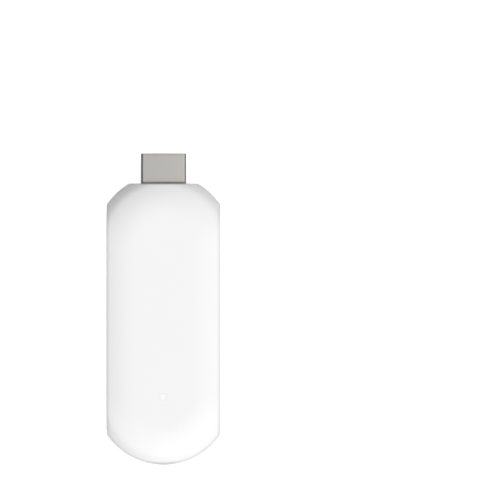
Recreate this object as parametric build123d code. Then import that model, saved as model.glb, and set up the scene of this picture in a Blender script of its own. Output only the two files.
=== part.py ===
# Streaming stick: a pebble-shaped television dongle that hangs from its own plug.
# Sizes are in millimetres. X runs across the stick, +Y towards the plug and +Z out of the front face.
# The stick lies on its back on Z = 0, with the origin under the middle of its overall length.
import math
import os
from functools import lru_cache

from build123d import *

os.makedirs("parts", exist_ok=True)

# Housing
body_length = 86.2  # round far end to the flat nose
body_width = 34.9  # across the two flat sides
body_height = 13.0  # back face to front face
end_radius = 21.0  # round of both ends, seen from the front
nose_trim = 2.9  # how much of the plug end's round the flat nose cuts off
plateau_half = 9.0  # half width of the flat middle of front and back
rim_radius = 5.4  # small round along the widest line
wall = 1.4
shoulder_flat_count = 2  # inside each rolled shoulder
rim_flat_count = 3  # inside the rim
edge_softness = 0.5  # round on the edges of the flat sides and nose

# Joint between the two covers
lip_height = 1.0  # the front cover's lip reaches this far into the back cover
fit_gap = 0.08  # between parts that fit each other snugly
seam_depth = 0.15  # reveal groove along the joint
seam_half_width = 0.1
snap_length = 5.0
snap_bite = 0.3  # how far a snap nose stands out of the lip
snap_height = 0.5
snap_spread = 22.0  # from the middle snap to the ones beside it

# Back cover
vent_count = 9
vent_length = 14.0
vent_width = 1.0
vent_pitch = 2.6
boss_radius = 2.1
screw_inset = 5.05  # screws stand this far inside the flat sides
screw_near_offset = 4.0  # from the near round's centre towards the plug
screw_far_offset = 5.0  # from the far round's centre towards the far end
pin_radius = 0.75  # pins that locate the board
pin_foot_radius = 1.6
pin_inset = 3.45  # from the flat sides

# Screws that hold the board
screw_radius = 0.8
screw_length = 4.0
screw_head_radius = 1.5
screw_head_height = 0.9
screw_recess_width = 0.45
screw_recess_depth = 0.5
thread_gap = 0.03

# Circuit board
board_thickness = 1.0
board_gap = 0.45  # between the board's edge and the covers
hole_gap = 0.1  # round screws and pins in the board

# Television plug
plug_width = 13.9
plug_height = 4.45
plug_narrow = 10.3  # width of the narrow face, which looks back
plug_flank = 2.6  # height of the straight part of its sides
plug_corner = 0.8
plug_reach = 9.2  # out of the nose
plug_tail = 5.0  # behind the nose
plug_sheet = 0.3
plug_tip_round = 0.12
plug_core_inset = 0.6  # the black core stops short of the tip
plug_slot_width = 11.2
plug_slot_height = 1.9
plug_slot_depth = 7.6
latch_side = 2.9  # latch windows left and right of the middle
latch_width = 1.8
latch_length = 2.4
latch_inset = 5.3  # from the tip
sheet_seam = 0.08
plug_tab_length = 2.2
plug_tab_reach = 1.6
port_gap = 0.15  # round plug, socket and button in the covers
saddle_length = 1.5
saddle_cheek = 1.2

# Plug contacts
contact_pitch = 1.0
contact_width = 0.42
contact_sheet = 0.2
contact_foot = 1.4
front_contacts = 10
back_contacts = 9

# Power socket in the right side
socket_offset = 7.0  # from the far round's centre towards the plug
socket_width = 7.4
socket_height = 2.35
socket_narrow = 5.4
socket_flank = 1.2
socket_corner = 0.3
socket_depth = 5.3
socket_sheet = 0.25
socket_inset = 0.3  # its mouth lies behind the side face
socket_tab_reach = 1.2
socket_tab_length = 2.0
socket_block = 1.2
tongue_width = 3.7
tongue_height = 0.55
tongue_lift = 0.05
tongue_inset = 0.5
pad_count = 5
pad_pitch = 0.65
pad_width = 0.32
pad_sheet = 0.12

# Pairing button in the left side, and its switch
button_radius = 1.5
button_inset = 0.2  # its face lies behind the side face
button_crown = 0.2
button_flange_radius = 2.1
button_flange = 0.6
button_travel = 0.3
plunger_clear = 0.4  # from the button to the switch when pressed
plunger_width = 1.6
plunger_height = 0.9
plunger_head_width = 2.6
plunger_head = 0.4
switch_width = 4.6
switch_height = 1.8
switch_depth = 3.2
switch_front = 0.35
switch_shell = 0.3
switch_plate = 0.15
switch_foot = 1.1
leaf_set = 0.2  # bow that is left in the spring when pressed
leaf_sheet = 0.08
running_gap = 0.03

# Status light
light_radius = 1.0
light_stem_radius = 1.2
light_flange_radius = 1.7
light_flange = 0.6
collar_wall = 0.7
collar_height = 1.3
lamp_length = 1.6
lamp_width = 0.8
lamp_height = 0.55
shroud_wall = 1.0

# Chips, shields and heat path
processor_offset = 8.2  # shields stand this far from the near round's centre, away from the plug
shield_width = 22.0
shield_length = 20.0
shield_height = 1.4
shield_sheet = 0.2
shield_lid_skirt = 0.9
shield_hole_radius = 0.6
shield_hole_pitch = 3.2
chip_height = 1.0
processor_width = 13.0
memory_width = 7.5
memory_length = 13.0
memory_spread = 9.4
pad_side = 12.0
outer_pad_side = 14.0
outer_pad_height = 0.7
spreader_gap = 0.4  # beside the feet of the locating pins
spreader_length = 30.0
spreader_sheet = 0.8
spreader_shift = 6.0  # its middle, from the shields' towards the far end
spreader_corner = 1.5
stake_inset = 1.9  # from the spreader's edges
stake_radius = 0.8
stake_shoulder = 1.6
stake_head = 0.5

# Radio and power parts
radio_width = 11.0
radio_length = 12.0
radio_height = 1.7
radio_side = -4.0
radio_gap = 2.5  # from the shields to the radio and the flash chip
flash_width = 11.5
flash_length = 13.0
power_side = 5.0  # the power parts stand in a column here
part_gap = 1.0
manager_width = 5.0
manager_height = 0.9
coil_count = 3
coil_width = 2.6
coil_height = 1.6
coil_gap = 0.5
crystal_length = 3.2
crystal_width = 2.5
crystal_height = 0.7
capacitor_length = 1.6
capacitor_width = 0.8
antenna_sheet = 0.3
antenna_height = 1.9
antenna_length = 7.5
antenna_width = 3.0
antenna_side = 2.6
antenna_offset = 10.5

# Levels
middle = body_height / 2
board_top = middle + board_thickness / 2
board_back = middle - board_thickness / 2
front_ceiling = body_height - wall

# Places along the stick
overall_length = body_length + plug_reach
far_end = -overall_length / 2
nose = far_end + body_length
plug_tip = nose + plug_reach
plug_rear = nose - plug_tail
far_centre = far_end + end_radius
near_centre = nose + nose_trim - end_radius
board_front = plug_rear - port_gap
shield_y = near_centre - processor_offset
spreader_y = shield_y - spreader_shift
socket_y = far_centre + socket_offset
side_face = body_width / 2
shields_far_edge = shield_y - shield_length / 2 - shield_sheet - fit_gap
screw_x = side_face - screw_inset
pin_x = side_face - pin_inset
spreader_width = 2 * (pin_x - pin_foot_radius - spreader_gap)
stake_x = spreader_width / 2 - stake_inset
stake_shift = spreader_length / 2 - stake_inset
screw_places = [
    (side * screw_x, y)
    for side in (-1, 1)
    for y in (near_centre + screw_near_offset, far_centre - screw_far_offset)
]
pin_places = [(side * pin_x, (near_centre + far_centre) / 2) for side in (-1, 1)]
stake_places = [(side * stake_x, spreader_y + end * stake_shift) for side in (-1, 1) for end in (-1, 1)]

# Round of the front and back faces: two arcs, the large one tangent to the flat middle
crown_width = end_radius - plateau_half
crown_radius = (crown_width**2 + middle**2 - 2 * rim_radius * crown_width) / (2 * (middle - rim_radius))


def block(x, y, z):
    """A box between two corners, each axis given as its two ends."""
    size = [abs(ends[1] - ends[0]) for ends in (x, y, z)]
    centre = [(ends[0] + ends[1]) / 2 for ends in (x, y, z)]
    return Pos(*centre) * Box(*size)


def post(x, y, radius, z_from, z_to):
    """An upright round post."""
    return Pos(x, y, (z_from + z_to) / 2) * Cylinder(radius, abs(z_to - z_from))


def along_x(section, x_from, x_to):
    """A section in Y and Z, drawn about the middle level, run along X."""
    return extrude(Plane((x_from, 0, middle), x_dir=(0, 1, 0), z_dir=(1, 0, 0)) * section, x_to - x_from)


def along_y(section, y_from, y_to):
    """A section in X and Z, drawn about the middle level, run along Y."""
    return extrude(Plane((0, y_to, middle), x_dir=(1, 0, 0), z_dir=(0, -1, 0)) * section, y_to - y_from)


def strip(points, sheet):
    """The edge-on outline of a bent metal strip, from the points of its middle line."""
    return trace(Polyline(*points), sheet)


# The pebble


def flattened(arc, count):
    """An arc as that many straight flats, whose corners lie on it."""
    return Polyline(*[arc @ (i / count) for i in range(count + 1)])


def half_section(inset, in_flats):
    """Half of the cross-section, from the middle line to the rim, a given distance inside the outer face."""
    half_height = middle - inset
    crown_centre = (plateau_half, middle - crown_radius)
    rim_centre = (end_radius - rim_radius, 0)
    turn = math.degrees(math.atan2(rim_centre[1] - crown_centre[1], rim_centre[0] - crown_centre[0]))
    shoulder = CenterArc(crown_centre, crown_radius - inset, turn, 90 - turn)
    rim = CenterArc(rim_centre, rim_radius - inset, -turn, 2 * turn)
    if in_flats:
        shoulder = flattened(shoulder, shoulder_flat_count)
        rim = flattened(rim, rim_flat_count)
    upper = Line((0, half_height), (plateau_half, half_height)) + shoulder
    middle_line = Line((0, half_height), (0, -half_height))
    return make_face(Curve() + [upper, rim, mirror(upper, Plane.XZ), middle_line])


@lru_cache(maxsize=None)
def pebble(inset, in_flats=False):
    """The housing's form, a given distance inside its outer face."""
    half = half_section(inset, in_flats)
    near = Plane((0, near_centre, middle), x_dir=(1, 0, 0), z_dir=(0, -1, 0))
    far = Plane((0, far_centre, middle), x_dir=(1, 0, 0), z_dir=(0, -1, 0))
    straight = extrude(near * (half + mirror(half, Plane.YZ)), near_centre - far_centre)
    near_round = revolve(near * half, Axis((0, near_centre, 0), (0, 0, 1)), 180)
    far_round = revolve(far * half, Axis((0, far_centre, 0), (0, 0, -1)), 180)
    side = side_face - inset
    sides_and_nose = block((-side, side), (far_end - wall, nose - inset), (-wall, body_height + wall))
    return (straight + near_round + far_round) & sides_and_nose


def cavity():
    """The inside of the housing. Its rolled faces are flats, so the wall is its named thickness or more."""
    return pebble(wall, in_flats=True)


@lru_cache(maxsize=None)
def housing():
    """The closed wall of both covers together, with its cut edges rounded over."""
    whole = pebble(0)
    cut_faces = [f for f in whole.faces() if f.geom_type == GeomType.PLANE and abs(f.normal_at().Z) < 0.5]
    softened = fillet([edge for face in cut_faces for edge in face.edges()], edge_softness)
    return softened - cavity()


def everywhere(z_from, z_to):
    """A slab wider than the stick."""
    return block((-body_width, body_width), (-overall_length, overall_length), (z_from, z_to))


def rooted(shape):
    """A post or rib, cut off inside the thickness of the wall that it grows from."""
    return shape & pebble(wall / 2)


def d_section(width, height, narrow, flank, corner, grow=0.0):
    """The six-sided outline of a plug or socket, wide face up, moved outwards by grow."""
    half = height / 2
    outline = Polygon(
        (-width / 2, half),
        (-width / 2, half - flank),
        (-narrow / 2, -half),
        (narrow / 2, -half),
        (width / 2, half - flank),
        (width / 2, half),
        align=None,
    )
    moved = offset(outline, grow, kind=Kind.INTERSECTION) if grow else outline
    return fillet(moved.vertices(), max(corner + grow, corner / 4))


def plug_section(grow=0.0):
    return d_section(plug_width, plug_height, plug_narrow, plug_flank, plug_corner, grow)


def socket_section(grow=0.0):
    return d_section(socket_width, socket_height, socket_narrow, socket_flank, socket_corner, grow)


def cover_openings():
    """What both covers leave open: the plug's hole, the socket's and the button's."""
    plug_hole = along_y(plug_section(port_gap), nose - 2 * wall, nose + wall)
    socket_hole = along_x(socket_section(port_gap), side_face - 2 * wall, side_face + wall)
    button_hole = along_x(Circle(button_radius + port_gap), -side_face - wall, -side_face + 2 * wall)
    return plug_hole + Pos(0, socket_y, 0) * (socket_hole + button_hole)


def snap_places():
    return [(side, y * snap_spread + (near_centre + far_centre) / 2) for side in (-1, 1) for y in (-1, 0, 1)]


def snap_wedge(side, y, grow):
    """One snap nose, or with grow its pocket, on the outer face of the lip."""
    lip_face = side_face - wall / 2 - fit_gap
    low = middle - lip_height + fit_gap - grow
    high = low + snap_height + 2 * grow
    outline = Polygon(
        (lip_face - wall / 4, low),
        (lip_face, low),
        (lip_face + snap_bite + grow, high - snap_height / 3),
        (lip_face + snap_bite + grow, high),
        (lip_face - wall / 4, high),
        align=None,
    )
    long = snap_length + 2 * grow
    nose_shape = extrude(Plane((0, y + long / 2, 0), x_dir=(1, 0, 0), z_dir=(0, -1, 0)) * outline, long)
    return nose_shape if side > 0 else mirror(nose_shape, Plane.YZ)


def saddle(z_from, z_to):
    """A rib behind the nose, shaped to the plug that rests in it."""
    reach = plug_width / 2 + saddle_cheek
    y_to = nose - wall - saddle_length / 2
    rib = block((-reach, reach), (y_to - saddle_length, y_to), (z_from, z_to))
    return rooted(rib) - along_y(plug_section(fit_gap), plug_rear, plug_tip)


def seam_groove(z_from, z_to):
    """The shallow reveal along one edge of the joint."""
    return everywhere(z_from, z_to) - pebble(seam_depth)


# Covers


def front_cover():
    """The shell that faces the room: lip, snap noses, light hole, stakes for the heat spreader."""
    cover = housing() & everywhere(middle, body_height + wall)
    lip = (pebble(wall / 2 + fit_gap) - cavity()) & everywhere(middle - lip_height, middle)
    cover += lip
    for side, y in snap_places():
        cover += snap_wedge(side, y, 0)
    for x, y in stake_places:
        low = front_spreader_level + spreader_sheet
        cover += rooted(post(x, y, stake_shoulder, low, body_height))
        cover += stake(x, y, low, -1)
    for x, y in pin_places:
        cover += rooted(post(x, y, pin_foot_radius, board_top + fit_gap, body_height))
        cover -= post(x, y, pin_radius + hole_gap, board_top, board_top + board_thickness)
    collar_radius = light_flange_radius + fit_gap
    collar_low = front_ceiling - collar_height
    cover += rooted(post(0, far_centre, collar_radius + collar_wall, collar_low, body_height))
    cover -= post(0, far_centre, collar_radius, collar_low, front_ceiling)
    cover -= post(0, far_centre, light_radius + running_gap, front_ceiling - wall, body_height + wall)
    tab_top = board_top + plug_sheet
    cover += saddle(tab_top + fit_gap, body_height)
    return cover - cover_openings() - seam_groove(middle, middle + seam_half_width)


def back_cover():
    """The shell that faces the television: rebate for the lip, bosses, locating pins and vents."""
    cover = housing() & everywhere(-wall, middle)
    cover -= pebble(wall / 2) & everywhere(middle - lip_height - fit_gap, middle + wall)
    for side, y in snap_places():
        cover -= snap_wedge(side, y, fit_gap)
    for x, y in screw_places:
        cover += rooted(post(x, y, boss_radius, 0, board_back))
        cover -= post(x, y, screw_radius + thread_gap, board_top - screw_length - screw_radius, board_back)
    for x, y in pin_places:
        cover += rooted(post(x, y, pin_foot_radius, 0, board_back))
        cover += post(x, y, pin_radius, board_back - pin_radius, board_top + board_thickness / 2)
    for x, y in stake_places:
        high = back_spreader_level - spreader_sheet
        cover += rooted(post(x, y, stake_shoulder, 0, high))
        cover += stake(x, y, high, 1)
    cover += saddle(0, board_back - fit_gap)
    vent_x = (-vent_length / 2, vent_length / 2)
    vent = block(vent_x, (-vent_width / 2, vent_width / 2), (-wall, wall + fit_gap))
    vent = fillet(vent.edges().filter_by(Axis.Z), vent_width * 0.45)
    for i in range(vent_count):
        cover -= Pos(0, spreader_y + (i - (vent_count - 1) / 2) * vent_pitch, 0) * vent
    return cover - cover_openings() - seam_groove(middle - seam_half_width, middle)


# Board and its fasteners


def plan(inset):
    """The stick's outline seen from the front, a given distance inside it."""
    radius = end_radius - inset
    length = near_centre - far_centre
    oval = Pos(0, near_centre) * Circle(radius) + Pos(0, far_centre) * Circle(radius)
    oval += Pos(0, (near_centre + far_centre) / 2) * Rectangle(2 * radius, length)
    trim_length = nose - far_end - inset
    return oval & Pos(0, (nose + far_end - inset) / 2) * Rectangle(2 * (side_face - inset), trim_length)


def main_board():
    outline = plan(wall + board_gap)
    plug_notch = plug_width + 2 * port_gap
    outline -= Pos(0, (board_front + nose) / 2) * Rectangle(plug_notch, nose - board_front)
    socket_reach = side_face - socket_rear + port_gap
    socket_notch = Rectangle(socket_reach, socket_width + 2 * port_gap)
    outline -= Pos(side_face - socket_reach / 2, socket_y) * socket_notch
    switch_reach = side_face + switch_back + port_gap
    switch_notch = Rectangle(switch_reach, switch_width + 2 * (switch_plate + port_gap))
    outline -= Pos(-side_face + switch_reach / 2, socket_y) * switch_notch
    for x, y in screw_places:
        outline -= Pos(x, y) * Circle(screw_radius + hole_gap)
    for x, y in pin_places:
        outline -= Pos(x, y) * Circle(pin_radius + hole_gap)
    return Pos(0, 0, board_back) * extrude(outline, board_thickness)


def board_screws():
    """Four self-tapping pan-head screws with crossed recesses."""
    screws = []
    for x, y in screw_places:
        head = post(x, y, screw_head_radius, board_top, board_top + screw_head_height)
        head = chamfer(head.edges().group_by(Axis.Z)[-1], screw_head_height * 0.45)
        shank = post(x, y, screw_radius, board_top - screw_length, board_top)
        arm = Box(2 * screw_recess_width, screw_recess_width, 2 * screw_recess_depth)
        cross = Box(4 * screw_recess_width, screw_recess_width, 2 * screw_recess_depth)
        cross += Rot(0, 0, 90) * cross
        screws.append(head + shank - Pos(x, y, board_top + screw_head_height) * (cross + arm))
    return Compound(children=[screw.solid() for screw in screws])


# Television plug


def plug_shell():
    """Folded steel sleeve, butt-jointed on its narrow face, with latch windows and two solder tabs."""
    sleeve = along_y(plug_section(), plug_rear, plug_tip)
    sleeve = fillet(sleeve.faces().sort_by(Axis.Y)[-1].edges(), plug_tip_round)
    sleeve -= along_y(plug_section(-plug_sheet), plug_rear - wall, plug_tip + wall)
    narrow_face = middle - plug_height / 2
    for side in (-1, 1):
        window_y = plug_tip - latch_inset
        window = block(
            (side * latch_side - latch_width / 2, side * latch_side + latch_width / 2),
            (window_y - latch_length / 2, window_y + latch_length / 2),
            (narrow_face - plug_sheet, narrow_face + 2 * plug_sheet),
        )
        sleeve -= window
        outer = side * (plug_width / 2 + plug_tab_reach)
        inner = side * (plug_width / 2 - plug_sheet / 2)
        tab_y = plug_rear + plug_sheet
        sleeve += block((inner, outer), (tab_y, tab_y + plug_tab_length), (board_top, board_top + plug_sheet))
    dovetail = plug_sheet * 3
    path = [
        (0, plug_rear - wall),
        (0, plug_rear + dovetail),
        (-dovetail / 2, plug_rear + dovetail * 2),
        (dovetail * 1.5, plug_rear + dovetail * 2),
        (dovetail, plug_rear + dovetail),
        (dovetail, plug_rear - wall),
    ]
    straight_path = [(0, plug_rear + dovetail * 2), (0, plug_tip + wall)]
    seam = trace(Polyline(*straight_path), sheet_seam)
    tail_seam = trace(Polyline(*path[1:5]), sheet_seam) + trace(Polyline(path[4], path[5]), sheet_seam)
    cut = Pos(0, 0, narrow_face - plug_sheet) * extrude(seam + tail_seam, 3 * plug_sheet)
    return sleeve - cut


def contact_places(count):
    return [(i - (count - 1) / 2) * contact_pitch for i in range(count)]


def contact_line():
    """Middle line of a front contact in Y and Z, from the mouth back to its foot on the board."""
    lift = plug_slot_height / 2
    foot = board_thickness / 2 + contact_sheet / 2
    return [
        (plug_tip - plug_core_inset * 2, lift + contact_sheet * 0.15),
        (plug_tip - plug_core_inset * 2 - 1.0, lift - contact_sheet * 0.75),
        (plug_tip - plug_core_inset - plug_slot_depth, lift + contact_sheet / 2),
        (plug_rear, lift + contact_sheet / 2),
        (plug_rear - contact_sheet * 2.5, foot),
        (plug_rear - contact_sheet * 2.5 - contact_foot, foot),
    ]


def contact_row(count, face):
    """One row of plug contacts; face is 1 for the row nearest the front and -1 for the other."""
    outline = strip([(y, face * z) for y, z in contact_line()], contact_sheet)
    one = along_x(outline, -contact_width / 2, contact_width / 2)
    return Compound(children=[(Pos(x, 0, 0) * one).solid() for x in contact_places(count)])


def plug_core():
    """Black moulding that fills the sleeve, with a slot for the television's tongue and contact grooves."""
    core = along_y(plug_section(-plug_sheet - fit_gap), plug_rear, plug_tip - plug_core_inset)
    mouth = plug_tip - plug_core_inset
    half_slot = plug_slot_height / 2
    core -= block(
        (-plug_slot_width / 2, plug_slot_width / 2),
        (mouth - plug_slot_depth, plug_tip),
        (middle - half_slot, middle + half_slot),
    )
    groove_half = contact_width / 2 + fit_gap / 2
    for count, face in ((front_contacts, 1), (back_contacts, -1)):
        shallow = middle + face * (half_slot - fit_gap)
        deep = middle + face * (half_slot + contact_sheet * 1.2)
        for x in contact_places(count):
            groove = block((x - groove_half, x + groove_half), (plug_rear, mouth - fit_gap), (shallow, deep))
            core -= groove
    return core


# Power socket

socket_mouth = side_face - socket_inset
socket_rear = socket_mouth - socket_depth


def socket_shell():
    """Steel sleeve of the power socket, sunk into a notch in the board, with a solder tab each side."""
    sleeve = along_x(socket_section() - socket_section(-socket_sheet), socket_rear, socket_mouth)
    for side in (-1, 1):
        y_in = side * (socket_width / 2 - socket_sheet / 2)
        y_out = side * (socket_width / 2 + socket_tab_reach)
        x_in = socket_rear + socket_sheet
        tab_x = (x_in, x_in + socket_tab_length)
        sleeve += block(tab_x, (y_in, y_out), (board_top, board_top + socket_sheet))
    return Pos(0, socket_y, 0) * sleeve


def pad_line():
    """Middle line of one socket contact in X and Z, from under the tongue to its foot on the board."""
    under_tongue = tongue_lift - pad_sheet / 2
    foot = board_thickness / 2 + pad_sheet / 2
    return [
        (socket_mouth - tongue_inset * 1.8, under_tongue),
        (socket_rear + socket_block * 0.75, under_tongue),
        (socket_rear + socket_block * 0.4, foot),
        (socket_rear - socket_block, foot),
    ]


def pad_places():
    return [(i - (pad_count - 1) / 2) * pad_pitch for i in range(pad_count)]


def socket_contacts():
    outline = strip(pad_line(), pad_sheet)
    one = extrude(Plane((0, pad_width / 2, middle), x_dir=(1, 0, 0), z_dir=(0, -1, 0)) * outline, pad_width)
    return Compound(children=[(Pos(0, socket_y + y, 0) * one).solid() for y in pad_places()])


def socket_core():
    """Black moulding at the back of the socket, with the tongue that carries the contacts."""
    block_section = socket_section(-socket_sheet - fit_gap / 2)
    core = along_x(block_section, socket_rear, socket_rear + socket_block)
    core += block(
        (socket_rear + socket_block / 2, socket_mouth - tongue_inset),
        (-tongue_width / 2, tongue_width / 2),
        (middle + tongue_lift, middle + tongue_lift + tongue_height),
    )
    groove = pad_width / 2 + fit_gap / 2
    low = middle + tongue_lift - pad_sheet - fit_gap
    high = board_top + pad_sheet + fit_gap
    groove_x = (socket_rear - wall, socket_rear + socket_block + fit_gap)
    for y in pad_places():
        core -= block(groove_x, (y - groove, y + groove), (low, high))
    return Pos(0, socket_y, 0) * core


# Pairing button and its switch, measured inwards from the left side face

plunger_reach = button_travel + plunger_clear
leaf_bow = button_travel + leaf_set
flange_front = -side_face + wall + fit_gap
flange_back = flange_front + button_flange
plunger_tip = flange_back + running_gap
switch_face = plunger_tip + plunger_reach
switch_back = switch_face + switch_depth
head_front = switch_face + switch_front + running_gap
head_back = head_front + plunger_head
leaf_seat = head_back + running_gap + leaf_bow + leaf_sheet


def pairing_button():
    """Round cap that shows in the side, kept in by a flange behind the wall."""
    face = -side_face + button_inset
    cap = along_x(Circle(button_radius), face, flange_front)
    cap = chamfer(cap.faces().sort_by(Axis.X)[0].edges(), button_crown)
    cap += along_x(Circle(button_flange_radius), flange_front, flange_back)
    return Pos(0, socket_y, 0) * cap


def switch_plunger():
    stem = along_x(Rectangle(plunger_width, plunger_height), plunger_tip, head_front)
    head = along_x(Rectangle(plunger_head_width, plunger_height), head_front, head_back)
    return Pos(0, socket_y, 0) * (stem + head)


def switch_body():
    """Black moulding with a window for the plunger and a chamber for the leaf spring."""
    body = along_x(Rectangle(switch_width, switch_height), switch_face, switch_back)
    window = Rectangle(plunger_width + 2 * running_gap, plunger_height + 2 * running_gap)
    chamber = Rectangle(switch_width - 2 * switch_shell, switch_height - 2 * switch_shell)
    body -= along_x(window, switch_face - wall, switch_face + switch_front)
    body -= along_x(chamber, switch_face + switch_front, leaf_seat)
    return Pos(0, socket_y, 0) * body


def switch_leaf():
    """Bowed leaf spring that pushes the plunger back out and closes the contact when it flattens."""
    half_span = switch_width / 2 - switch_shell - running_gap * 2
    crest = head_back + running_gap
    outer = ThreePointArc(
        (crest + leaf_bow, -half_span), (crest, 0), (crest + leaf_bow, half_span)
    )
    inner = ThreePointArc(
        (crest + leaf_bow + leaf_sheet, -half_span),
        (crest + leaf_sheet, 0),
        (crest + leaf_bow + leaf_sheet, half_span),
    )
    ends = [Line(outer @ 0, inner @ 0), Line(outer @ 1, inner @ 1)]
    bow = make_face(Curve() + [outer, inner, *ends])
    high = (switch_height - 2 * switch_shell) * 0.8
    return Pos(0, socket_y, middle - high / 2) * extrude(bow, high)


def switch_bracket():
    """Thin steel plate folded over the switch, whose feet are soldered to the board."""
    top = middle + switch_height / 2
    half = switch_width / 2
    x = (switch_face, switch_back)
    plate = block(x, (-half - switch_plate, half + switch_plate), (top, top + switch_plate))
    foot_x = (switch_face + switch_front, switch_back - switch_front)
    for side in (-1, 1):
        cheek = side * (half + switch_plate)
        toe = side * (half + switch_plate + switch_foot)
        plate += block(x, (side * half, cheek), (board_top, top + switch_plate))
        plate += block(foot_x, (side * half, toe), (board_top, board_top + switch_plate))
    return Pos(0, socket_y, 0) * plate


# Status light


def light_pipe():
    """Clear rod from above the lamp to the front face, held by its flange in the front cover's collar."""
    flange_top = front_ceiling - running_gap
    lamp_top = board_top + lamp_height
    rod = post(0, far_centre, light_radius, flange_top, body_height)
    rod += post(0, far_centre, light_flange_radius, flange_top - light_flange, flange_top)
    return rod + post(0, far_centre, light_stem_radius, lamp_top + lamp_height, flange_top)


def light_shroud():
    """Black foam ring that keeps the lamp's light in the pipe."""
    inner = light_stem_radius + fit_gap
    high = front_ceiling - collar_height
    ring = post(0, far_centre, inner + shroud_wall, board_top, high)
    return ring - post(0, far_centre, inner, board_top, high)


def status_lamp():
    """Surface-mounted lamp: a base with a rounded lens on it."""
    half = lamp_height / 2
    base = slab(0, far_centre, lamp_length, lamp_width, board_top, half, 1)
    lens = slab(0, far_centre, lamp_length / 2, lamp_width, board_top + half, half, 1)
    return base + fillet(lens.edges().group_by(Axis.Z)[-1], lamp_height / 5)


# Chips, shields and heat spreaders; side is 1 above the board and -1 behind it


def surface(side):
    return board_top if side > 0 else board_back


def slab(x, y, width, length, level, height, side):
    """A flat rectangular piece that starts at a level and grows away from the board."""
    sides = (x - width / 2, x + width / 2)
    ends = (y - length / 2, y + length / 2)
    return block(sides, ends, (level, level + side * height))


def chip(x, y, width, length, height, side):
    """A moulded chip on a thin base that stands out all round."""
    base_height = height * 0.3
    base = slab(x, y, width, length, surface(side), base_height, side)
    inset = height * 0.4
    cap_level = surface(side) + side * base_height
    return base + slab(x, y, width - inset, length - inset, cap_level, height - base_height, side)


def shield_frame(side):
    """Fence soldered round the chips, with a narrow flange that the lid sits on."""
    level = surface(side)
    fence = slab(0, shield_y, shield_width, shield_length, level, shield_height, side)
    hollow_height = shield_height - shield_sheet
    inner = (shield_width - 2 * shield_sheet, shield_length - 2 * shield_sheet)
    fence -= slab(0, shield_y, inner[0], inner[1], level, hollow_height, side)
    flange = shield_sheet * 5
    opening = (shield_width - 2 * flange, shield_length - 2 * flange)
    return fence - slab(0, shield_y, opening[0], opening[1], level, shield_height, side)


def shield_lid(side):
    """Five-sided can over the fence, with round holes at its corners."""
    level = surface(side) + side * shield_height
    outer = 2 * (shield_sheet + fit_gap)
    skirt_level = level - side * shield_lid_skirt
    high = shield_lid_skirt + shield_sheet
    lid = slab(0, shield_y, shield_width + outer, shield_length + outer, skirt_level, high, side)
    gap = 2 * fit_gap
    lid -= slab(0, shield_y, shield_width + gap, shield_length + gap, skirt_level, shield_lid_skirt, side)
    reach = (shield_width / 2 - shield_hole_pitch / 2, shield_length / 2 - shield_hole_pitch / 2)
    for x_side in (-1, 1):
        for y_side in (-1, 1):
            x = x_side * reach[0]
            y = shield_y + y_side * reach[1]
            top = level + side * 2 * shield_sheet
            lid -= post(x, y, shield_hole_radius, level - side * shield_sheet, top)
    return lid


def inner_pad(side):
    """Soft pad between a chip and the lid above it."""
    level = surface(side) + side * chip_height
    return slab(0, shield_y, pad_side, pad_side, level, shield_height - chip_height, side)


def outer_pad(side):
    """Soft pad between a lid and its heat spreader."""
    level = surface(side) + side * (shield_height + shield_sheet)
    return slab(0, shield_y, outer_pad_side, outer_pad_side, level, outer_pad_height, side)


def spreader_level(side):
    return surface(side) + side * (shield_height + shield_sheet + outer_pad_height)


front_spreader_level = spreader_level(1)
back_spreader_level = spreader_level(-1)


def heat_spreader(side):
    """Stamped aluminium plate with cropped corners, held by a stake near each corner."""
    level = spreader_level(side)
    plate = slab(0, spreader_y, spreader_width, spreader_length, level, spreader_sheet, side)
    plate = chamfer(plate.edges().filter_by(Axis.Z), spreader_corner)
    for x, y in stake_places:
        plate -= post(x, y, stake_radius + hole_gap, level, level + side * spreader_sheet)
    return plate


def stake(x, y, level, side):
    """Pin through the spreader's hole that ends just past the plate."""
    return post(x, y, stake_radius, level - side * stake_head, level + side * (spreader_sheet + stake_head))


# Radio, memory and power parts


radio_y = shields_far_edge - radio_gap - radio_length / 2
flash_y = shields_far_edge - radio_gap - flash_length / 2
crystal_y = shields_far_edge - part_gap - crystal_width / 2
manager_y = crystal_y - crystal_width / 2 - part_gap - manager_width / 2


def radio_module():
    """Radio module under its own small can."""
    y = radio_y
    base_height = radio_height * 0.4
    base = slab(radio_side, y, radio_width, radio_length, board_top, base_height, 1)
    can_margin = radio_height / 2
    can = slab(
        radio_side, y, radio_width - can_margin, radio_length - can_margin,
        board_top + base_height, radio_height - base_height, 1,
    )
    return base + chamfer(can.edges().group_by(Axis.Z)[-1], shield_sheet)


def power_coils():
    """Moulded coils in a column below the power chip."""
    coils = []
    first_y = manager_y - manager_width / 2 - part_gap - coil_width / 2
    for i in range(coil_count):
        y = first_y - i * (coil_width + coil_gap)
        coil = slab(power_side, y, coil_width, coil_width, board_top, coil_height, 1)
        coils.append(chamfer(coil.edges().filter_by(Axis.Z), coil_width / 8).solid())
    return Compound(children=coils)


def clock_crystals():
    """Two metal-lidded crystals, one by the processor's shield and one by the radio."""
    lids = []
    radio_crystal_y = radio_y - radio_length / 2 - part_gap - crystal_width / 2
    for x, y in ((power_side, crystal_y), (radio_side, radio_crystal_y)):
        lid = slab(x, y, crystal_length, crystal_width, board_top, crystal_height, 1)
        lids.append(fillet(lid.edges().filter_by(Axis.Z), crystal_width / 8).solid())
    return Compound(children=lids)


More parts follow.
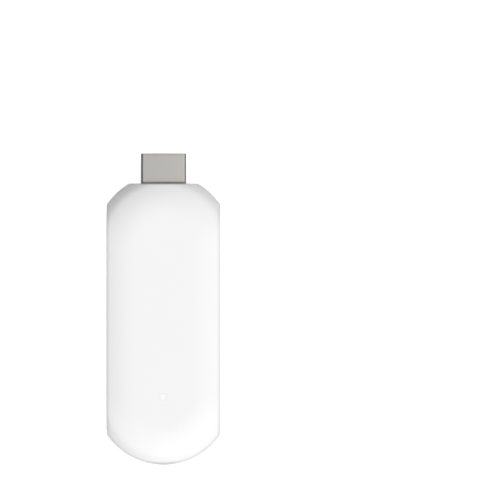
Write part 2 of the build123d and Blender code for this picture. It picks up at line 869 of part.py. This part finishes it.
def capacitor_places():
    """Rows of capacitors: beside the front shield, and beside the power chip."""
    edge = shield_width / 2 + shield_sheet + fit_gap + capacitor_width
    rows = [(x * edge, shield_y + (i - 1.5) * capacitor_length * 2) for x in (-1, 1) for i in range(4)]
    beside = power_side + manager_width / 2 + capacitor_width * 1.5
    rows += [(beside, manager_y + (i - 0.5) * capacitor_length * 1.5) for i in range(2)]
    return rows


def ceramic_capacitors():
    bodies = []
    for x, y in capacitor_places():
        body = slab(x, y, capacitor_width, capacitor_length, board_top, capacitor_width, 1)
        bodies.append(chamfer(body.edges().filter_by(Axis.X), capacitor_width / 10).solid())
    return Compound(children=bodies)


def antenna(side):
    """Stamped radio antenna: a flat arm over the board on two folded legs."""
    y_near = far_centre - antenna_offset
    y = (y_near - antenna_width, y_near)
    x_in = side * antenna_side
    x_out = side * (antenna_side + antenna_length)
    top = board_top + antenna_height
    arm = block((x_in, x_out), y, (top - antenna_sheet, top))
    slit_y = (y_near - antenna_width * 0.65, y_near - antenna_width * 0.35)
    arm -= block((x_in + side * antenna_width * 0.8, x_out), slit_y, (top - wall, top + wall))
    leg = antenna_sheet * 3
    for y_from in (y_near - leg, y_near - antenna_width):
        arm += block((x_in, x_in + side * antenna_sheet), (y_from, y_from + leg), (board_top, top))
    return arm


def memory_chips():
    half = memory_spread / 2
    pair = [chip(x, shield_y, memory_width, memory_length, chip_height, -1).solid() for x in (-half, half)]
    return Compound(children=pair)


pieces = {
    "front_cover": front_cover(),
    "back_cover": back_cover(),
    "main_board": main_board(),
    "board_screws": board_screws(),
    "plug_shell": plug_shell(),
    "plug_core": plug_core(),
    "plug_contacts_front": contact_row(front_contacts, 1),
    "plug_contacts_back": contact_row(back_contacts, -1),
    "socket_shell": socket_shell(),
    "socket_core": socket_core(),
    "socket_contacts": socket_contacts(),
    "pairing_button": pairing_button(),
    "switch_plunger": switch_plunger(),
    "switch_body": switch_body(),
    "switch_leaf": switch_leaf(),
    "switch_bracket": switch_bracket(),
    "light_pipe": light_pipe(),
    "light_shroud": light_shroud(),
    "status_lamp": status_lamp(),
    "processor_chip": chip(0, shield_y, processor_width, processor_width, chip_height, 1),
    "memory_chips": memory_chips(),
    "flash_chip": chip(0, flash_y, flash_width, flash_length, chip_height, -1),
    "front_shield_frame": shield_frame(1),
    "front_shield_lid": shield_lid(1),
    "back_shield_frame": shield_frame(-1),
    "back_shield_lid": shield_lid(-1),
    "front_inner_pad": inner_pad(1),
    "front_outer_pad": outer_pad(1),
    "back_inner_pad": inner_pad(-1),
    "back_outer_pad": outer_pad(-1),
    "front_heat_spreader": heat_spreader(1),
    "back_heat_spreader": heat_spreader(-1),
    "radio_module": radio_module(),
    "power_chip": chip(power_side, manager_y, manager_width, manager_width, manager_height, 1),
    "power_coils": power_coils(),
    "clock_crystals": clock_crystals(),
    "ceramic_capacitors": ceramic_capacitors(),
    "antenna_left": antenna(-1),
    "antenna_right": antenna(1),
}

for name, shape in pieces.items():
    export_step(shape, f"parts/{name}.step")
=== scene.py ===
"""A white television streaming stick lying on its back on a white studio table, seen square from above."""

import bpy
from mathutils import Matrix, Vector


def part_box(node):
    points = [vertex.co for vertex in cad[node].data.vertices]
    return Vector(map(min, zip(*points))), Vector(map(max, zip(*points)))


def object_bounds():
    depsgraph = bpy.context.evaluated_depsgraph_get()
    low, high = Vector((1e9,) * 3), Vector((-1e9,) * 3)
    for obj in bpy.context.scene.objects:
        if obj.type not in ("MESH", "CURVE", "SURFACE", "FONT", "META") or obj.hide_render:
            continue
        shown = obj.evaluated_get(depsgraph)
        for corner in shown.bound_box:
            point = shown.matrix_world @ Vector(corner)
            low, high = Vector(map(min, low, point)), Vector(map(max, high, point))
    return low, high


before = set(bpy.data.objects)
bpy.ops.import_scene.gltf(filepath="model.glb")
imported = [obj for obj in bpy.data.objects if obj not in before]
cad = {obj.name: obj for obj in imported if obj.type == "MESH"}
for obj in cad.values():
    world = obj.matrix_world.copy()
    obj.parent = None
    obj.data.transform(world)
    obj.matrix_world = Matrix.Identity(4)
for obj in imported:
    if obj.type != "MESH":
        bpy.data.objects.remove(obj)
solid_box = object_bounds()
bpy.ops.object.select_all(action="DESELECT")


# Camera
# A long lens looks straight down on the stick from high above, as a catalogue picture is taken.
# The plug's steel sleeve is 13.9 mm wide and 45.4 pixels wide in the picture, which sets the scale.

millimetre = 0.001
plug_width = 13.9
plug_width_in_picture = 45.4
stick_middle_in_picture = (163.6, 309.3)
picture_size = 480
lens_height = 2.4
sensor_width = 36
nearest_seen = lens_height / 100
furthest_seen = lens_height * 20

pixel = plug_width * millimetre / plug_width_in_picture
camera_x = (picture_size / 2 - stick_middle_in_picture[0]) * pixel
camera_y = (stick_middle_in_picture[1] - picture_size / 2) * pixel
plug_level = (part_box("plug_shell")[0].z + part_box("plug_shell")[1].z) / 2

bpy.ops.object.camera_add(location=(camera_x, camera_y, plug_level + lens_height), rotation=(0, 0, 0))
camera = bpy.context.object
camera.name = "camera"
camera.data.sensor_width = sensor_width
camera.data.lens = sensor_width * lens_height / (picture_size * pixel)
camera.data.clip_start = nearest_seen
camera.data.clip_end = furthest_seen
bpy.context.scene.camera = camera


# Circuit board
# A glass-epoxy board under a glossy green solder mask, cut by a router to the housing's outline. Copper runs
# show through the mask as a lighter green, vias are tinned rings, and the edge shows the bare tan laminate.


class Value:
    """One number, vector or colour on its way through a node tree."""

    def __init__(self, tree, socket):
        self.tree = tree
        self.socket = socket

    def maths(self, operation, *others):
        inputs = dict(enumerate((self, *others)))
        return self.tree.node("ShaderNodeMath", {"operation": operation}, inputs)

    def __add__(self, other):
        return self.maths("ADD", other)

    def __sub__(self, other):
        return self.maths("SUBTRACT", other)

    def __rsub__(self, other):
        return self * -1.0 + other

    def __mul__(self, other):
        return self.maths("MULTIPLY", other)

    def __truediv__(self, other):
        return self.maths("DIVIDE", other)

    def __pow__(self, other):
        return self.maths("POWER", other)

    def __abs__(self):
        return self.maths("ABSOLUTE")

    __radd__ = __add__
    __rmul__ = __mul__

    def at_least(self, low):
        return self.maths("MAXIMUM", low)

    def at_most(self, high):
        return self.maths("MINIMUM", high)

    def nearest(self, pitch):
        """How far it is from the nearest multiple of the pitch."""
        return self.maths("PINGPONG", pitch / 2)

    def step(self, low, high):
        """0 below low, 1 above high and a smooth rise from one to the other."""
        inputs = {"Value": self, "From Min": low, "From Max": high}
        return self.tree.node("ShaderNodeMapRange", {"interpolation_type": "SMOOTHSTEP"}, inputs)


class Tree:
    """A node tree, to which a call adds one node with its settings and inputs."""

    def __init__(self, owner):
        owner.use_nodes = True
        self.nodes = owner.node_tree.nodes
        self.links = owner.node_tree.links

    def give(self, node, socket, value):
        """Links a value to a socket, or sets the socket to a number or to a colour, which gets its alpha."""
        target = node.inputs[socket]
        if isinstance(value, Value):
            self.links.new(value.socket, target)
        elif hasattr(value, "__len__") and len(value) < len(target.default_value):
            target.default_value = (*value, 1.0)
        else:
            target.default_value = value

    def node(self, kind, settings, inputs, output=0):
        made = self.nodes.new(kind)
        for name, value in settings.items():
            setattr(made, name, value)
        for socket, value in inputs.items():
            self.give(made, socket, value)
        return Value(self, made.outputs[output])

    def split(self, vector):
        return [self.node("ShaderNodeSeparateXYZ", {}, {"Vector": vector}, axis) for axis in "XYZ"]


class Finish(Tree):
    """A procedural material on a piece's own coordinates."""

    def __init__(self, name, **surface):
        self.material = bpy.data.materials.new(name)
        super().__init__(self.material)
        self.surface = self.nodes["Principled BSDF"]
        self.place = self.node("ShaderNodeTexCoord", {}, {}, "Object")
        self.set(**surface)

    def set(self, **surface):
        """Sets sockets of the surface, named in small letters with underscores."""
        for name, value in surface.items():
            socket = name.replace("_", " ").title().replace("Ior", "IOR")
            self.give(self.surface, socket, value)

    def axes(self):
        """The three coordinates in millimetres."""
        return [axis / millimetre for axis in self.split(self.place)]

    def noise(self, size, detail=2.0, stretch=(1, 1, 1)):
        """Soft blotches from 0 to 1, of about the size in millimetres, and longer where stretch is small."""
        stretched = self.node("ShaderNodeMapping", {}, {"Vector": self.place, "Scale": stretch})
        inputs = {"Vector": stretched, "Scale": 1 / (size * millimetre), "Detail": detail}
        return self.node("ShaderNodeTexNoise", {}, inputs)

    def cells(self, size, output="Distance", metric="EUCLIDEAN"):
        """Scattered cells: the distance from their middles, in cell sizes, or a random colour for each."""
        inputs = {"Vector": self.place, "Scale": 1 / (size * millimetre)}
        return self.node("ShaderNodeTexVoronoi", {"distance": metric}, inputs, output)

    def blend(self, share, colour_a, colour_b):
        """Colour a at share 0 and colour b at share 1. A Mix node's sockets go by number."""
        share_socket, socket_a, socket_b, colour_socket = 0, 6, 7, 2
        inputs = {share_socket: share, socket_a: colour_a, socket_b: colour_b}
        return self.node("ShaderNodeMix", {"data_type": "RGBA"}, inputs, colour_socket)

    def relief(self, height, depth):
        """A bump of the given depth in millimetres, where height runs from 0 to 1."""
        inputs = {"Height": height, "Distance": depth * millimetre, "Strength": 1.0}
        self.set(normal=self.node("ShaderNodeBump", {}, inputs))

    def on(self, *names):
        for name in names:
            piece = cad[name]
            piece.data.materials.clear()
            piece.data.materials.append(self.material)


mask_green = (0.010, 0.060, 0.034)
mask_over_copper = (0.022, 0.125, 0.070)
laminate = (0.36, 0.30, 0.16)
tin = (0.66, 0.65, 0.62)
patch_size = 4.0
turned_patches = (0.40, 0.41)
poured_patches = (0.70, 0.71)
run_pitch = 0.5
run_edge = (0.08, 0.11)
lengthwise_bends = 14.0
crosswise_bends = 10.0
via_spacing = 2.4
via_rim = (0.11, 0.13)
via_hole = (0.045, 0.055)
mask_overlap = (0.01, 0.03)

board_low, board_high = (corner.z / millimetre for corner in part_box("main_board"))
middle_level = (board_low + board_high) / 2
board_half = (board_high - board_low) / 2

board = Finish("solder_mask", coat_weight=0.25)
x, y, z = board.axes()
patch = board.split(board.cells(patch_size, output="Color", metric="CHEBYCHEV"))[0]
lengthwise = 1.0 - (x + y.nearest(lengthwise_bends)).nearest(run_pitch).step(*run_edge)
crosswise = 1.0 - (y + x.nearest(crosswise_bends)).nearest(run_pitch).step(*run_edge)
turned = patch.step(*turned_patches)
poured = patch.step(*poured_patches)
copper = (lengthwise * (1.0 - turned) + crosswise * turned).at_least(poured)
via = board.cells(via_spacing)
ring = (1.0 - via.step(*via_rim)) * via.step(*via_hole)
edge = (board_half - abs(z - middle_level)).step(*mask_overlap)
green = board.blend(copper, mask_green, mask_over_copper)
board.set(base_color=board.blend(edge, board.blend(ring, green, tin), laminate))
board.set(metallic=ring * (1.0 - edge), roughness=0.24 + 0.5 * edge + 0.06 * board.noise(size=3.0))
board.relief(copper.at_least(ring), depth=0.02)
board.on("main_board")


# Chips
# Black epoxy moulded over a thin green substrate that stands out all round. The moulding is finely matt from
# its spark-eroded tool, with a shallow polished dot over the first pin.

epoxy = (0.032, 0.032, 0.034)
epoxy_worn = (0.050, 0.050, 0.052)
substrate = (0.030, 0.062, 0.030)
substrate_thickness = 0.30
substrate_fade = 0.02
dot_inset = 1.7
dot_radius = 0.42
dot_fade = 0.05
memory_width = 7.5

dots = []
for name in ("processor_chip", "flash_chip", "power_chip", "memory_chips"):
    low, high = (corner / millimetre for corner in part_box(name))
    dots.append((low.x + dot_inset, high.y - dot_inset))
    if name == "memory_chips":
        dots.append((high.x - memory_width + dot_inset, high.y - dot_inset))

chips = Finish("moulded_epoxy")
x, y, z = chips.axes()
from_dot = None
for dot_x, dot_y in dots:
    away = ((x - dot_x) ** 2.0 + (y - dot_y) ** 2.0) ** 0.5
    from_dot = away if from_dot is None else from_dot.at_most(away)
dot = 1.0 - from_dot.step(dot_radius - dot_fade, dot_radius)
grain = chips.noise(size=0.08, detail=3.0)
above_board = abs(z - middle_level) - board_half
base = 1.0 - above_board.step(substrate_thickness, substrate_thickness + substrate_fade)
black = chips.blend(chips.noise(size=2.0), epoxy, epoxy_worn)
chips.set(base_color=chips.blend(base, black, substrate), roughness=0.62 - 0.3 * dot - 0.15 * base)
chips.relief((grain + 0.5) * (1.0 - dot), depth=0.012)
chips.on("processor_chip", "memory_chips", "flash_chip", "power_chip")


# Coils and capacitors
# The coils are pressed from iron powder, so they are grey and speckled. The capacitors are fired brown
# ceramic with a tinned cap on each end.

powder_dark = (0.035, 0.035, 0.038)
powder_light = (0.135, 0.130, 0.125)
light_specks = (0.35, 0.70)

coils = Finish("iron_powder")
speckle = coils.noise(size=0.09, detail=4.0)
coils.set(base_color=coils.blend(speckle.step(*light_specks), powder_dark, powder_light))
coils.set(roughness=0.5 + 0.25 * speckle)
coils.relief(speckle, depth=0.02)
coils.on("power_coils")

ceramic_pale = (0.30, 0.20, 0.12)
ceramic_deep = (0.22, 0.14, 0.08)
capacitor_length = 1.6
cap_length = 0.32
cap_fade = 0.02
shield_column_x = 10.0
column_fade = 0.1
shield_column_pitch = 2 * capacitor_length
power_column_pitch = 1.5 * capacitor_length

shield_low, shield_high = (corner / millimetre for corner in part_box("front_shield_frame"))
power_low, power_high = (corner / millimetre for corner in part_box("power_chip"))
shield_y = (shield_low.y + shield_high.y) / 2
power_y = (power_low.y + power_high.y) / 2
cap_start = capacitor_length / 2 - cap_length

capacitors = Finish("fired_ceramic")
x, y, _ = capacitors.axes()
by_shield = (y - shield_y + shield_column_pitch / 2).nearest(shield_column_pitch)
by_power = (y - power_y + power_column_pitch / 2).nearest(power_column_pitch)
beside_shield = abs(x).step(shield_column_x, shield_column_x + column_fade)
along = by_shield * beside_shield + by_power * (1.0 - beside_shield)
cap = along.step(cap_start - cap_fade, cap_start + cap_fade)
clay = capacitors.blend(capacitors.noise(size=0.4), ceramic_deep, ceramic_pale)
capacitors.set(base_color=capacitors.blend(cap, clay, tin), metallic=cap)
capacitors.set(roughness=0.45 - 0.15 * cap + 0.1 * capacitors.noise(size=0.2))
capacitors.relief(cap, depth=0.015)
capacitors.on("ceramic_capacitors")


# Shield cans, radio module and crystals
# Fences and lids stamped from 0.2 mm tinned steel. Tin cools in faint spangles, each a little lighter or
# duller than the next, and picks up soft rubs from the tool.

tin_dull = (0.52, 0.52, 0.50)

cans = Finish("tinned_steel", metallic=1.0)
spangle = cans.split(cans.cells(size=1.6, output="Color"))[0]
rubs = cans.noise(size=0.5, detail=3.0, stretch=(0.08, 1, 1))
cans.set(base_color=cans.blend(0.6 * spangle + 0.4 * rubs, tin_dull, tin))
cans.set(roughness=0.26 + 0.12 * spangle + 0.10 * rubs)
cans.relief(0.3 * spangle + 0.7 * rubs, depth=0.004)
cans.on("front_shield_frame", "front_shield_lid", "back_shield_frame", "back_shield_lid")
cans.on("radio_module", "clock_crystals")


# Thermal pads
# Soft blue silicone cut from a sheet, filled with pale ceramic powder. The liner it came on has left the
# print of its fine weave.

silicone = (0.20, 0.30, 0.48)
powder_white = (0.42, 0.50, 0.62)
pale_crumbs = (0.50, 0.75)
weave_pitch = 0.45

pads = Finish("soft_silicone", specular_ior_level=0.35)
x, y, _ = pads.axes()
weave = (x + y).nearest(weave_pitch) + (x - y).nearest(weave_pitch)
crumbs = pads.noise(size=0.12, detail=3.0)
pads.set(base_color=pads.blend(crumbs.step(*pale_crumbs), silicone, powder_white))
pads.set(roughness=0.72 + 0.15 * crumbs)
pads.relief(weave / weave_pitch, depth=0.02)
pads.on("front_inner_pad", "front_outer_pad", "back_inner_pad", "back_outer_pad")


# Heat spreaders
# Blanked from 0.8 mm aluminium sheet and left as rolled: fine streaks run across the stick, and a few longer
# scuffs cross them.

aluminium = (0.76, 0.77, 0.78)
aluminium_dull = (0.58, 0.59, 0.60)
scuffed = (0.60, 0.72)

spreaders = Finish("rolled_aluminium", metallic=1.0)
streaks = spreaders.noise(size=0.12, detail=4.0, stretch=(0.02, 1, 1))
scuffs = spreaders.noise(size=2.5, detail=3.0, stretch=(1, 0.15, 1)).step(*scuffed)
spreaders.set(base_color=spreaders.blend(0.7 * streaks + 0.3 * scuffs, aluminium_dull, aluminium))
spreaders.set(roughness=0.28 + 0.16 * streaks + 0.12 * scuffs)
spreaders.relief(streaks, depth=0.003)
spreaders.on("front_heat_spreader", "back_heat_spreader")


# Screws, socket sleeve and switch cover
# Plain stainless steel: rolled strip for the sleeve and the cover, turned wire for the four screws. All have
# fine marks from the tools and soft, dull stains.

stainless = (0.62, 0.62, 0.61)
stainless_dull = (0.46, 0.46, 0.45)

steel = Finish("stainless_steel", metallic=1.0)
marks = steel.noise(size=0.06, detail=4.0, stretch=(0.05, 1, 1))
stains = steel.noise(size=1.5)
steel.set(base_color=steel.blend(0.6 * marks + 0.4 * stains, stainless_dull, stainless))
steel.set(roughness=0.24 + 0.14 * marks)
steel.relief(marks, depth=0.002)
steel.on("board_screws", "socket_shell", "switch_bracket")


# Antennas and leaf spring
# Stamped from bright nickel-silver strip, with the roll's straight hairlines across the stick and a slightly
# yellow cast.

strip_bright = (0.74, 0.71, 0.64)
strip_dull = (0.58, 0.55, 0.48)

strip = Finish("spring_strip", metallic=1.0)
hairlines = strip.noise(size=0.05, detail=3.0, stretch=(0.03, 1, 1))
strip.set(base_color=strip.blend(hairlines, strip_dull, strip_bright), roughness=0.18 + 0.16 * hairlines)
strip.relief(hairlines, depth=0.0015)
strip.on("antenna_left", "antenna_right", "switch_leaf")


# Contacts
# Stamped from phosphor bronze and pressed into their mouldings, with gold flash over nickel. The gold is
# thin, so it is paler where the tool rubbed it.

gold = (0.80, 0.55, 0.20)
gold_pale = (0.84, 0.68, 0.38)
pale_rubs = (0.35, 0.75)

contacts = Finish("gold_flash", metallic=1.0)
rubbed = contacts.noise(size=0.25, detail=3.0, stretch=(1, 0.2, 1))
contacts.set(base_color=contacts.blend(rubbed.step(*pale_rubs), gold, gold_pale))
contacts.set(roughness=0.16 + 0.16 * rubbed)
contacts.relief(rubbed, depth=0.002)
contacts.on("plug_contacts_front", "plug_contacts_back", "socket_contacts")


# Black mouldings
# The plug's core, the socket's tongue and the switch body are glass-filled nylon. Short fibres lie along the
# flow and show as faint pale flecks in a satin black.

nylon = (0.016, 0.016, 0.017)
nylon_fleck = (0.045, 0.045, 0.046)
pale_fibres = (0.55, 0.80)

mouldings = Finish("glass_filled_nylon")
fibres = mouldings.noise(size=0.07, detail=3.0, stretch=(1, 0.15, 1))
mouldings.set(base_color=mouldings.blend(fibres.step(*pale_fibres), nylon, nylon_fleck))
mouldings.set(roughness=0.42 + 0.2 * fibres)
mouldings.relief(fibres, depth=0.006)
mouldings.on("plug_core", "socket_core", "switch_body")


# Switch plunger
# A small slider moulded in grey nylon, slightly waxy, with the faint lines of its mould. It runs in the
# switch body, and the pairing button pushes it.

slider_grey = (0.42, 0.42, 0.43)
slider_shade = (0.33, 0.33, 0.34)

slider = Finish("grey_nylon", specular_ior_level=0.4)
mould_lines = slider.noise(size=0.15, stretch=(0.1, 1, 1))
slider.set(base_color=slider.blend(mould_lines, slider_shade, slider_grey))
slider.set(roughness=0.45 + 0.1 * mould_lines)
slider.relief(mould_lines, depth=0.004)
slider.on("switch_plunger")


# Status light
# A pale yellow lamp on the board, a black foam ring round it, and a clear acrylic rod above it whose
# frosted end is the small round dot on the front.

frosted = (0.93, 0.93, 0.935)
frosted_clear = (0.90, 0.905, 0.915)
plain_white = (1.0, 1.0, 1.0)
painted_pipe_glow = 0.04

# The rod is given a faint painted glow, which makes the dot read a little brighter than the white around it.
pipe = Finish("frosted_acrylic", ior=1.49, emission_color=plain_white, emission_strength=painted_pipe_glow)
haze = pipe.noise(size=0.25, detail=3.0)
pipe.set(base_color=pipe.blend(haze, frosted_clear, frosted), roughness=0.42 + 0.16 * haze)
pipe.relief(haze, depth=0.003)
pipe.on("light_pipe")

foam_black = (0.020, 0.020, 0.021)
foam_grey = (0.055, 0.055, 0.056)

foam = Finish("closed_cell_foam", specular_ior_level=0.2)
bubbles = foam.cells(size=0.18)
foam.set(base_color=foam.blend(bubbles, foam_black, foam_grey), roughness=0.85 + 0.1 * bubbles)
foam.relief(bubbles, depth=0.04)
foam.on("light_shroud")

phosphor = (0.82, 0.70, 0.18)
phosphor_pale = (0.90, 0.85, 0.55)

lamp = Finish("lamp_epoxy", coat_weight=0.5)
powder = lamp.noise(size=0.1, detail=3.0)
lamp.set(base_color=lamp.blend(powder, phosphor, phosphor_pale), roughness=0.3 + 0.15 * powder)
lamp.relief(powder, depth=0.003)
lamp.on("status_lamp")


# Plug sleeve
# Folded from satin nickel-plated steel, with fine lines along the plug from rolling. The folds carry painted
# dark reflections and the cut tip painted shade, a painted shadow line lies where the sleeve enters the
# housing, and the colour is painted lighter towards the right side, where more light falls.

nickel = (0.432, 0.419, 0.399)
nickel_dull = (0.388, 0.381, 0.364)
nickel_dark = (0.150, 0.146, 0.140)
plug_height = 4.45
fold_edge = (0.53, 0.68)
fold_tone = 0.55
crease_edge = (0.27, 0.37)
crease_tone = 0.90
fold_depth = (0.7, 0.9)
base_shadow_outside = (0.50, 0.62)
base_shadow_inside = (0.32, 0.62)
base_shadow_tone = 0.85
tip_edge = (0.7, 0.9)
tip_tone = 0.12

plug_half_width = plug_width / 2
plug_top = middle_level + plug_height / 2
plug_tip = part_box("plug_shell")[1].y / millimetre
plug_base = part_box("front_cover")[1].y / millimetre

sleeve = Finish("satin_nickel", metallic=1.0)
x, y, z = sleeve.axes()
rolling = sleeve.noise(size=0.10, detail=4.0, stretch=(1, 0.03, 1))
cloud = sleeve.noise(size=3.0)
from_edge = plug_half_width - abs(x)
# Painted dark reflections along the two rounded folds, fading out below the top of the sleeve.
fold = fold_tone * (1.0 - from_edge.step(*fold_edge))
crease = crease_tone * (1.0 - from_edge.step(*crease_edge))
painted_fold_reflection = fold.at_least(crease) * (1.0 - (plug_top - z).step(*fold_depth))
# A painted shadow line across the sleeve where it enters the housing.
base_shadow = (1.0 - (y - plug_base).step(*base_shadow_outside)) * (1.0 - (plug_base - y).step(*base_shadow_inside))
# Painted shade over the cut tip.
tip = 1.0 - (plug_tip - y).step(*tip_edge)
# The nickel is painted lighter towards the right side, where more light falls.
across = x.step(-plug_half_width, plug_half_width)
satin = sleeve.blend(0.2 * rolling + 0.2 * cloud + 0.6 * across, nickel_dull, nickel)
dark = painted_fold_reflection.at_least(base_shadow_tone * base_shadow).at_least(tip_tone * tip)
sleeve.set(base_color=sleeve.blend(dark, satin, nickel_dark), roughness=0.24 + 0.10 * rolling + 0.04 * cloud)
sleeve.relief(rolling, depth=0.0015)
sleeve.on("plug_shell")


# Covers and pairing button
# White ABS, moulded in one tool whose fine eroded grain leaves a satin skin, smoother where hands polish it.
# Painted shade greys the rim, most at the far end, and a painted shadow line lies where the plug enters.

abs_white = (0.907, 0.906, 0.905)
abs_cool = (0.897, 0.898, 0.900)
painted_shade_grey = (0.36, 0.36, 0.36)
end_radius = 21.0
nose_trim = 2.9
rim_edge = (0.5, 1.2)
flat_side = (0.02, 0.10)
rim_shade_tone = 0.18
far_rim_shade_tone = 0.14
far_shade_width = (1.0, 6.0)
far_shade_level = (0.7, 1.5)
far_shade_tone = 0.30
entry_start = (0.01, 0.04)
entry_end = (0.25, 0.45)
entry_width = (-0.6, 0.2)
entry_shadow_tone = 0.50

half_width = solid_box[1].x / millimetre
far_end = solid_box[0].y / millimetre
far_centre = far_end + end_radius
near_centre = plug_base + nose_trim - end_radius

shell = Finish("white_abs", ior=1.5)
x, y, z = shell.axes()
tone = shell.noise(size=16.0)
polish = shell.noise(size=5.0, detail=3.0)
grain = shell.noise(size=0.14, detail=3.0)
past_far = (y - far_centre).at_most(0.0)
past_near = (y - near_centre).at_least(0.0)
from_centre = (x ** 2.0 + past_far ** 2.0 + past_near ** 2.0) ** 0.5
from_side = half_width - abs(x)
# The rim band is greyed with painted shade, standing in for the dark outline of the curved edge.
rim = (1.0 - from_side.at_most(end_radius - from_centre).step(*rim_edge)) * from_side.step(*flat_side)
# A painted contact shadow deepens the grey of the rim at the middle of the far end.
at_far_end = 1.0 - y.step(far_end, far_centre)
far_shade = at_far_end * (1.0 - abs(x).step(*far_shade_width)) * (z - middle_level).step(*far_shade_level)
far_shade = far_shade * (0.6 + 0.8 * polish)
# A painted shadow line on the nose's edge, across the width of the plug.
into_nose = plug_base - y
entry_shadow = into_nose.step(*entry_start) * (1.0 - into_nose.step(*entry_end))
entry_shadow = entry_shadow * (1.0 - (abs(x) - plug_half_width).step(*entry_width))
painted_shade = rim * (rim_shade_tone + far_rim_shade_tone * at_far_end + far_shade_tone * far_shade)
painted_shade = painted_shade.at_least(entry_shadow_tone * entry_shadow)
white = shell.blend(tone, abs_cool, abs_white)
shell.set(base_color=shell.blend(painted_shade, white, painted_shade_grey), roughness=0.33 + 0.06 * polish + 0.03 * grain)
shell.relief(grain, depth=0.004)
shell.on("front_cover", "back_cover", "pairing_button")


# Table and sky
# A sheet of white acrylic lit from below, as in a product studio, whose light reaches the back and the sides.
# The sky is brightest above the far end and the right side and dark at the horizon, which draws a grey rim.

table_white = (0.90, 0.90, 0.90)
table_size = 8
table_squares = 8
table_glow = 0.60
from_table = 1.25
sky_overhead = 1.15
sky_right = 1.17
sky_far_end = 2.08
dark_corner = 1.2
diagonal = 0.5 ** 0.5

bpy.ops.mesh.primitive_grid_add(
    x_subdivisions=table_squares,
    y_subdivisions=table_squares,
    size=table_size,
    location=(0, 0, solid_box[0].z),
)
table = bpy.context.object
table.name = "table"

# Light from below passes through the sheet. From above, the camera and what metal mirrors see it white.
acrylic = Finish("white_acrylic", base_color=table_white, roughness=0.9, specular_ior_level=0.1)
acrylic.set(emission_color=plain_white, emission_strength=table_glow)
lets_through = acrylic.node("ShaderNodeNewGeometry", {}, {}, "Backfacing")
for ray in ("Is Diffuse Ray", "Is Shadow Ray"):
    lets_through = lets_through.at_least(acrylic.node("ShaderNodeLightPath", {}, {}, ray))
clear = acrylic.node("ShaderNodeBsdfTransparent", {}, {})
lit = Value(acrylic, acrylic.surface.outputs["BSDF"])
sheet = acrylic.node("ShaderNodeMixShader", {}, {"Fac": lets_through, 1: lit, 2: clear})
acrylic.give(acrylic.nodes["Material Output"], "Surface", sheet)
table.data.materials.append(acrylic.material)

world = bpy.data.worlds.new("studio")
bpy.context.scene.world = world
sky = Tree(world)
east, north, up = sky.split(sky.node("ShaderNodeTexCoord", {}, {}, "Generated"))
to_corner = ((north - east) * diagonal).at_least(0.0)
overhead = sky_overhead * (1.0 - dark_corner * to_corner).at_least(0.0)
glow = overhead + sky_right * east.at_least(0.0) + sky_far_end * (0.0 - north).at_least(0.0)
glow = glow * up.at_least(0.0) + from_table * (0.0 - up).at_least(0.0)
to_camera = sky.node("ShaderNodeLightPath", {}, {}, "Is Camera Ray")
sky.give(sky.nodes["Background"], "Color", plain_white)
sky.give(sky.nodes["Background"], "Strength", glow + to_camera * (1.0 - glow))

bpy.context.scene.view_settings.view_transform = "Standard"
